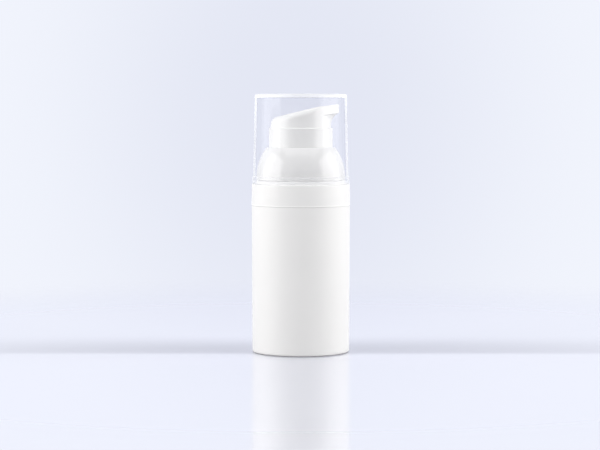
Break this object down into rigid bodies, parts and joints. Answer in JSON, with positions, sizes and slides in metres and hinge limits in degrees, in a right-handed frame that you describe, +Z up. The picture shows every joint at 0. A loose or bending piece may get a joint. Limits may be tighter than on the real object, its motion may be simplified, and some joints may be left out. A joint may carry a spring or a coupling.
{
  "type": "airless pump bottle",
  "caption": "Straight airless pump bottle with a clear overcap, a domed shoulder, a sprung head with a short spout, and a follower that rises inside the body.",
  "frame": {"origin": "middle of the foot, on the surface the bottle stands on", "axes": "+Z up along the bottle's axis, +X the way the spout points, +Y towards the back as the picture sees it"},
  "size_m": [0.0342, 0.0342, 0.0893],
  "materials": {
    "body_white": "satin white moulded plastic",
    "collar_white": "semi-gloss white moulded plastic",
    "gloss_white": "glossy white moulded plastic",
    "clear_plastic": "polished clear plastic",
    "moulded_natural": "natural milky moulded plastic",
    "gasket": "soft foamed gasket, light grey",
    "steel": "bright drawn steel"
  },
  "bodies": {
    "bottle": {"bottle_body": "body_white", "base_plug": "moulded_natural", "neck_gasket": "gasket", "collar": "collar_white", "dome_shroud": "gloss_white", "pump_housing": "moulded_natural", "housing_cap": "moulded_natural", "return_spring": "steel"},
    "plunger": {"stem": "moulded_natural", "piston_seat": "moulded_natural"},
    "wiper": {"piston_wiper": "moulded_natural"},
    "head": {"actuator": "gloss_white"},
    "inlet_valve": {"inlet_ball": "steel"},
    "follower": {"follower_piston": "moulded_natural"},
    "cap": {"overcap": "clear_plastic"}
  },
  "joints": [
    {"name": "head_press", "type": "slide", "parent": "bottle", "child": "plunger", "axis": [0, 0, -1], "range_m": [0, 0.0052], "stiffness_N_per_m": 900, "springref_m": -0.008, "deforming": ["return_spring"]},
    {"name": "head_turn", "type": "hinge", "parent": "plunger", "child": "head", "pos_m": [0, 0, 0.0716], "axis": [0, 0, 1], "continuous": true},
    {"name": "wiper_lag", "type": "slide", "parent": "plunger", "child": "wiper", "axis": [0, 0, 1], "range_m": [0, 0.0006]},
    {"name": "inlet_lift", "type": "slide", "parent": "bottle", "child": "inlet_valve", "axis": [0, 0, 1], "range_m": [0, 0.0007]},
    {"name": "follower_rise", "type": "slide", "parent": "bottle", "child": "follower", "axis": [0, 0, 1], "range_m": [0, 0.0416]},
    {"name": "overcap_lift", "type": "slide", "parent": "bottle", "child": "cap", "axis": [0, 0, 1], "range_m": [0, 0.035]}
  ]
}
